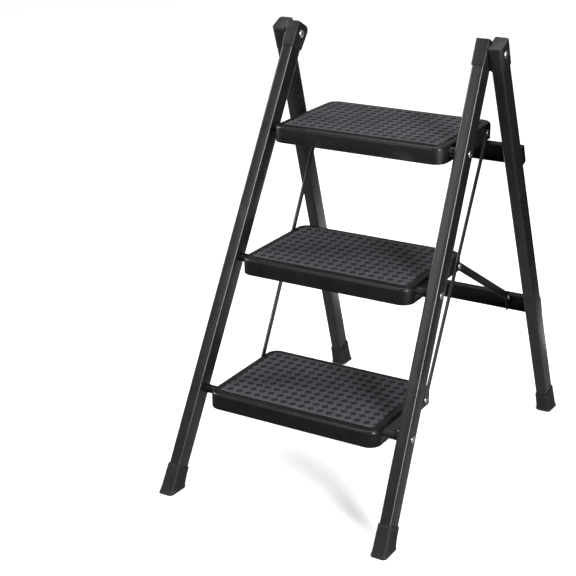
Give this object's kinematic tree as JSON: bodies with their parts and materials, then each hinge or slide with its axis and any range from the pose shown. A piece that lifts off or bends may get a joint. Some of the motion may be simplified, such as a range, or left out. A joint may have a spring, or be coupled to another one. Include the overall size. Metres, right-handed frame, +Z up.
{
  "type": "step stool",
  "caption": "Folding step stool with wide treads between splayed tube legs, plastic hinge caps, link bars and struts.",
  "frame": {"origin": "on the ground, in the middle of the stool's footprint when it stands open", "axes": "+Z up, +Y the way the treads climb, from the front feet to the rear feet, +X to the user's right"},
  "size_m": [0.4474, 0.6434, 0.706],
  "materials": {
    "frame": "semi-gloss black powder coat",
    "tread": "satin black paint",
    "mat": "matt, raised lozenge pattern",
    "cap": "fine moulded grain",
    "foot": "matt",
    "rivet": "bright zinc"
  },
  "bodies": {
    "front_frame": {"front_leg_left": "frame", "front_cap_left": "cap", "front_foot_left": "foot", "hinge_rivet_left": "rivet", "front_leg_right": "frame", "front_cap_right": "cap", "front_foot_right": "foot", "hinge_rivet_right": "rivet", "cross_tube_bottom": "frame", "tread_rod_bottom": "rivet", "cross_tube_middle": "frame", "tread_rod_middle": "rivet", "cross_tube_top": "frame", "tread_rod_top": "rivet"},
    "rear_frame": {"rear_leg_left": "frame", "rear_cap_left": "cap", "rear_foot_left": "foot", "strut_bracket_left": "frame", "strut_lower_rivet_left": "rivet", "rear_leg_right": "frame", "rear_cap_right": "cap", "rear_foot_right": "foot", "strut_bracket_right": "frame", "strut_lower_rivet_right": "rivet", "crossbar_upper": "frame", "crossbar_lower": "frame"},
    "tread_bottom": {"tread_plate_bottom": "tread", "tread_mat_bottom": "mat", "link_rivet_bottom_left": "rivet", "link_rivet_bottom_right": "rivet"},
    "tread_middle": {"tread_plate_middle": "tread", "tread_mat_middle": "mat", "link_rivet_middle_left": "rivet", "link_rivet_middle_right": "rivet"},
    "tread_top": {"tread_plate_top": "tread", "tread_mat_top": "mat", "link_rivet_top_left": "rivet", "link_rivet_top_right": "rivet"},
    "link_bars": {"link_bar_left": "frame", "link_bar_right": "frame"},
    "struts": {"strut_left": "frame", "strut_right": "frame", "strut_upper_rivet_left": "rivet", "strut_upper_rivet_right": "rivet"}
  },
  "joints": [
    {"name": "rear_fold", "type": "hinge", "parent": "front_frame", "child": "rear_frame", "pos_m": [0, 0.0455, 0.6826], "axis": [-1, 0, 0], "range_deg": [0, 41.8]},
    {"name": "tread_fold_bottom", "type": "hinge", "parent": "front_frame", "child": "tread_bottom", "pos_m": [0, -0.22401, 0.1532], "axis": [1, 0, 0], "range_deg": [0, 57.1]},
    {"name": "tread_fold_middle", "type": "hinge", "parent": "front_frame", "child": "tread_middle", "pos_m": [0, -0.12509, 0.3475], "axis": [1, 0, 0], "range_deg": [0, 57.1]},
    {"name": "tread_fold_top", "type": "hinge", "parent": "front_frame", "child": "tread_top", "pos_m": [0, -0.02618, 0.5418], "axis": [1, 0, 0], "range_deg": [0, 57.1]},
    {"name": "link_pivot", "type": "hinge", "parent": "tread_middle", "child": "link_bars", "pos_m": [0, 0.00961, 0.34855], "axis": [-1, 0, 0], "range_deg": [0, 57.1]},
    {"name": "strut_pivot", "type": "hinge", "parent": "rear_frame", "child": "struts", "pos_m": [0, 0.22633, 0.22782], "axis": [-1, 0, 0], "range_deg": [0, 35.61]}
  ],
  "couplings": [
    {"joint": "tread_fold_bottom", "follows": "rear_fold", "ratio": 1.3636},
    {"joint": "tread_fold_middle", "follows": "rear_fold", "ratio": 1.3636},
    {"joint": "tread_fold_top", "follows": "rear_fold", "ratio": 1.3636},
    {"joint": "link_pivot", "follows": "rear_fold", "ratio": 1.3636},
    {"joint": "strut_pivot", "follows": "rear_fold", "ratio": 0.84962}
  ]
}
